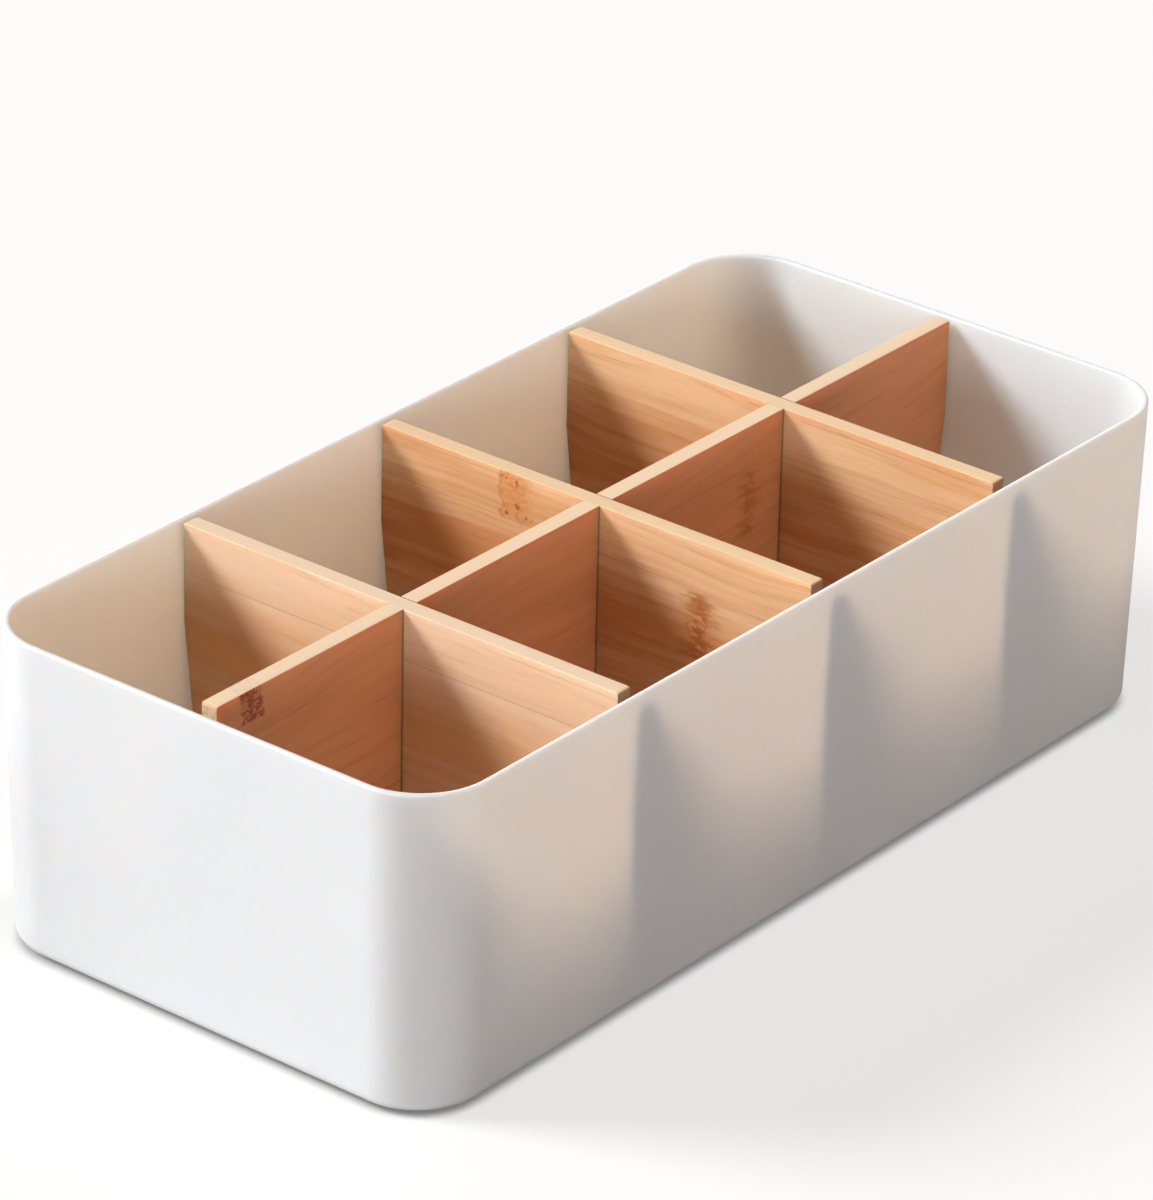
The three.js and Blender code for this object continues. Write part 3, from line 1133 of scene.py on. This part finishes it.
@dataclass(frozen=True)
class Studio:
    """Pale floor, a soft key lamp on the left behind the tub, a weak one in front and an even fill.

    Attributes:
        key_from: Direction that the key comes from.
        key_power: Light of the key on a surface that faces it.
        key_spread: Angle that the key fills as seen from the part, in degrees.
        fill_from: Direction that the fill lamp comes from.
        fill_power: Light of the fill lamp on a surface that faces it.
        fill_spread: Angle that the fill lamp fills, in degrees.
        horizon: Light from all round.
        zenith: Light from above.
        overhead: Light from right above, which reaches the floors of the cells.
        band: Heights, as sines, between which the horizon fades into the zenith.
        dome: Heights, as sines, between which the zenith fades into what is right above.
        net: Share of the key that the foot of the net on the left lets through.
        net_gap: How far the net stands off the tub's left wall.
        net_hem: Height of the net's lower side.
        net_foot: Height up to which the net is at its thickest.
        net_top: Height of the net, where it has thinned out to nothing.
        net_ends: How far the net runs past the tub, thinning out there too.
        contact: How near the part has to be to darken the floor below it.
        floor_half: Half of the floor's side.
        paper: The floor's colour to the eye.
        paper_fibre: The colour of its faint fibres.
        bounce: The floor's colour to the light that it sends back to the part.
        glow: Share of the floor that is white whatever shades it.
    """

    key_from: Point = (-0.412, 0.698, 0.586)
    key_power: float = 3.9
    key_spread: float = 21.0
    fill_from: Point = (-0.92, -0.38, 0.12)
    fill_power: float = 0.86
    fill_spread: float = 20.0
    horizon: Colour = (0.44, 0.44, 0.43)
    zenith: Colour = (0.11, 0.07, 0.05)
    overhead: Colour = (0.55, 0.53, 0.50)
    band: tuple[float, float] = (0.05, 0.6)
    dome: tuple[float, float] = (0.86, 0.94)
    net: float = 0.45
    net_gap: float = 20 * MM
    net_hem: float = 10 * MM
    net_foot: float = 35 * MM
    net_top: float = 105 * MM
    net_ends: float = 40 * MM
    contact: float = 4 * MM
    floor_half: float = 4.0
    paper: Colour = (0.95, 0.95, 0.95)
    paper_fibre: Colour = (0.90, 0.90, 0.90)
    bounce: Colour = (0.45, 0.445, 0.44)
    glow: float = 0.70

    def build(self) -> Piece:
        """Sets up the floor, the net, the lamps and the world.

        Returns:
            The floor.
        """
        floor = new_plane("floor", (2 * self.floor_half,) * 2, Vector((0.0, 0.0, 0.0)))
        with EditBench(floor) as bench:
            bench.pick_all()
            bpy.ops.mesh.subdivide(number_cuts=7)
        dress(floor, self._paper())
        self._hang_net()
        self._lamp("key_lamp", self.key_from, self.key_power, self.key_spread)
        self._lamp("fill_lamp", self.fill_from, self.fill_power, self.fill_spread)
        self._world()
        bpy.context.scene.view_settings.view_transform = "Standard"
        return floor

    def _paper(self) -> bpy.types.Material:
        """Makes the floor's paper: white to the eye, paler where nothing shades it.

        Returns:
            The material.
        """
        sheet = NodeSheet("studio_paper")
        fibre = sheet.noise(sheet.coordinates().outputs["Object"], scale=900.0, detail=2)
        tint = sheet.blend(sheet.step(fibre, 0.3, 0.7, 0.0, 0.04), self.paper, self.paper_fibre)
        seen = sheet.add("ShaderNodeBsdfDiffuse", {"Color": tint}).outputs[0]
        near = sheet.add("ShaderNodeAmbientOcclusion", {"Distance": self.contact}, samples=8)
        clear = sheet.step(near.outputs["AO"], 0.15, 0.8, 0.2, 1.0)
        glow = sheet.blend(clear, BLACK, WHITE)
        white = sheet.add("ShaderNodeEmission", {"Color": glow, "Strength": 1.0}).outputs[0]
        seen = sheet.add("ShaderNodeMixShader", {0: self.glow, 1: seen, 2: white}).outputs[0]
        lit = sheet.add("ShaderNodeBsdfDiffuse", {"Color": self.bounce}).outputs[0]
        shown = sheet.add("ShaderNodeMixShader", {0: looked_at(sheet), 1: lit, 2: seen}).outputs[0]
        sheet.feed(sheet.nodes["Material Output"].inputs["Surface"], shown)
        sheet.nodes.remove(sheet.shader)
        return sheet.material

    def _hang_net(self) -> None:
        """Hangs a net before the left wall, which softens the key there and isn't seen itself."""
        low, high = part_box(MouldedTub.node)
        lean = self.net_gap * self.key_from[0] / self.key_from[1]
        half = (high.x - low.x) / 2 + self.net_ends
        middle = (self.net_hem + self.net_top) / 2
        place = Vector(((low.x + high.x) / 2 + lean, high.y + self.net_gap, middle))
        net = new_plane("net", (2 * half, self.net_top - self.net_hem), place, upright=True)
        with EditBench(net) as bench:
            bench.pick_all()
            bpy.ops.mesh.subdivide(number_cuts=3)
        sheet = NodeSheet("studio_net")
        along, _, up = sheet.parts(sheet.coordinates().outputs["Object"])
        ends = sheet.step(sheet.apart(along, place.x), half - 2 * self.net_ends, half)
        thin = sheet.highest(ends, sheet.step(up, self.net_foot, self.net_top), looked_at(sheet))
        shade = (self.net,) * 3
        weave = sheet.add("ShaderNodeBsdfTransparent", {"Color": sheet.blend(thin, shade, WHITE)})
        sheet.feed(sheet.nodes["Material Output"].inputs["Surface"], weave.outputs[0])
        sheet.nodes.remove(sheet.shader)
        dress(net, sheet.material)

    def _lamp(self, name: str, way: Point, power: float, spread: float) -> None:
        """Hangs a soft lamp.

        Args:
            name: Name of the lamp.
            way: Direction that its light comes from.
            power: Its light on a surface that faces it.
            spread: Angle that it fills as seen from the part, in degrees.
        """
        data = bpy.data.lights.new(name, "SUN")
        data.energy = power
        data.angle = math.radians(spread)
        lamp = bpy.data.objects.new(name, data)
        bpy.context.scene.collection.objects.link(lamp)
        direction = Vector(way).normalized()
        lamp.location = direction * 2.0
        lamp.rotation_mode = "QUATERNION"
        lamp.rotation_quaternion = direction.to_track_quat("Z", "Y")

    def _world(self) -> None:
        """Gives the scene a fill that is weaker from above, behind a white background."""
        world = bpy.data.worlds.new("studio_fill")
        world.use_nodes = True
        bpy.context.scene.world = world
        sheet = NodeSheet("studio_fill", world)
        climb = sheet.parts(sheet.coordinates().outputs["Generated"])[2]
        fill = sheet.blend(sheet.step(climb, *self.band), self.horizon, self.zenith)
        fill = sheet.blend(sheet.step(climb, *self.dome), fill, self.overhead)
        shown = sheet.blend(looked_at(sheet), fill, WHITE)
        sheet.feed(sheet.nodes["Background"].inputs["Color"], shown)
        sheet.feed(sheet.nodes["Background"].inputs["Strength"], 1.0)


def looked_at(sheet: NodeSheet) -> Socket:
    """Tells rays that show the stage to the eye from rays that light the part.

    Args:
        sheet: The nodes of a stage material or of the world.

    Returns:
        1 for a camera, glossy or transmission ray, otherwise 0.
    """
    path = sheet.add("ShaderNodeLightPath").outputs
    return sheet.highest(*(path[f"Is {kind} Ray"] for kind in ("Camera", "Glossy", "Transmission")))


@dataclass(frozen=True)
class Viewpoint:
    """The camera, as found from the part's edges in the picture.

    Attributes:
        place: Where it stands.
        azimuth: Its turn round the part; 0 looks along +Y.
        elevation: Its height over the horizon.
        roll: Its turn about its own axis.
        focal_pixels: Its focal length in pixels of the picture.
    """

    place: Point = (-1.19594, -0.93956, 0.83173)
    azimuth: float = -51.682
    elevation: float = 26.913
    roll: float = 1.378
    focal_pixels: float = 6821.0

    def build(self) -> Piece:
        """Makes the scene's camera.

        Returns:
            The camera.
        """
        data = bpy.data.cameras.new("camera")
        data.sensor_width = SENSOR_MM
        data.lens = self.focal_pixels * SENSOR_MM / IMAGE_LONG_SIDE
        data.clip_start, data.clip_end = 0.01, 50.0
        camera = bpy.data.objects.new("camera", data)
        bpy.context.scene.collection.objects.link(camera)
        turn, tilt = math.radians(self.azimuth), math.radians(self.elevation)
        ahead = Vector((-math.sin(turn) * math.cos(tilt), math.cos(turn) * math.cos(tilt), -math.sin(tilt)))
        level = ahead.to_track_quat("-Z", "Y")
        camera.location = self.place
        camera.rotation_mode = "QUATERNION"
        camera.rotation_quaternion = level @ Quaternion((0.0, 0.0, 1.0), math.radians(self.roll))
        bpy.context.scene.camera = camera
        return camera


PADS = ("front_left_pad", "front_right_pad", "rear_left_pad", "rear_right_pad")
CROSSES = ("front_cross_divider", "middle_cross_divider", "rear_cross_divider")
LONG = "long_divider"


def bamboo_boards() -> list[BambooBoard]:
    """Lists the boards of the grid, each with its own cut of bamboo.

    Returns:
        The long board and the three cross boards.
    """
    amber, beads, scorched = KnuckleKind.AMBER, KnuckleKind.BEADS, KnuckleKind.SCORCHED
    long_rings = (
        Knuckle(scorched, -130.2 * MM, 82.5 * MM, 5 * MM, 4.2 * MM),
        Knuckle(beads, 62 * MM, 64.5 * MM, 10 * MM, 7 * MM, 0.6),
    )
    middle_rings = (
        Knuckle(amber, 25.5 * MM, 80 * MM, 7.5 * MM, 5 * MM),
        Knuckle(beads, -33.2 * MM, 63.5 * MM, 10 * MM, 8 * MM),
    )
    long_finish = BambooFinish(
        "bamboo_long",
        GrainAxis.ALONG,
        1.3,
        74.5 * MM,
        long_rings,
        tilt=0.06,
        edge=(0.92, 0.76, 0.55),
        end=(0.84, 0.66, 0.46),
        lower_strips_tone_and_shade=0.0,
        # Darker, redder tones on the face towards the right than on the face towards the left: painted
        # shade, for that face is turned from the key.
        pale=(0.80, 0.36, 0.17),
        tan=(0.71, 0.295, 0.133),
    )
    front_finish = BambooFinish(
        "bamboo_front",
        GrainAxis.ACROSS,
        5.9,
        73 * MM,
        (Knuckle(beads, -24 * MM, 24 * MM, 10 * MM, 7 * MM, 0.6),),
        figure=0.5,
        edge=(0.87, 0.66, 0.475),
        pale=(0.87, 0.655, 0.465),
        tan=(0.79, 0.44, 0.21),
    )
    middle_finish = BambooFinish("bamboo_middle", GrainAxis.ACROSS, 11.2, 73.5 * MM, middle_rings)
    rear_rings = (Knuckle(beads, 18 * MM, 63 * MM, 10 * MM, 7 * MM, 0.6),)
    rear_finish = BambooFinish("bamboo_rear", GrainAxis.ACROSS, 17.6, 73 * MM, rear_rings)
    boards = [BambooBoard(LONG, "long_board", long_finish, SlotSide.UP, CROSSES)]
    for name, finish in zip(CROSSES, (front_finish, middle_finish, rear_finish)):
        body = name.replace("divider", "board")
        boards.append(BambooBoard(name, body, finish, SlotSide.DOWN, (LONG,)))
    return boards


def main() -> None:
    """Builds the part, its stage and its camera."""
    logging.basicConfig(level=logging.INFO, format="%(name)s: %(message)s")
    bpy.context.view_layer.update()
    Viewpoint().build()
    pieces = [MouldedTub(pads=PADS).build()]
    pieces += [board.build() for board in bamboo_boards()]
    pieces += AntiSlipPads(PADS).build()
    Studio().build()


if __name__ == "__main__":
    main()
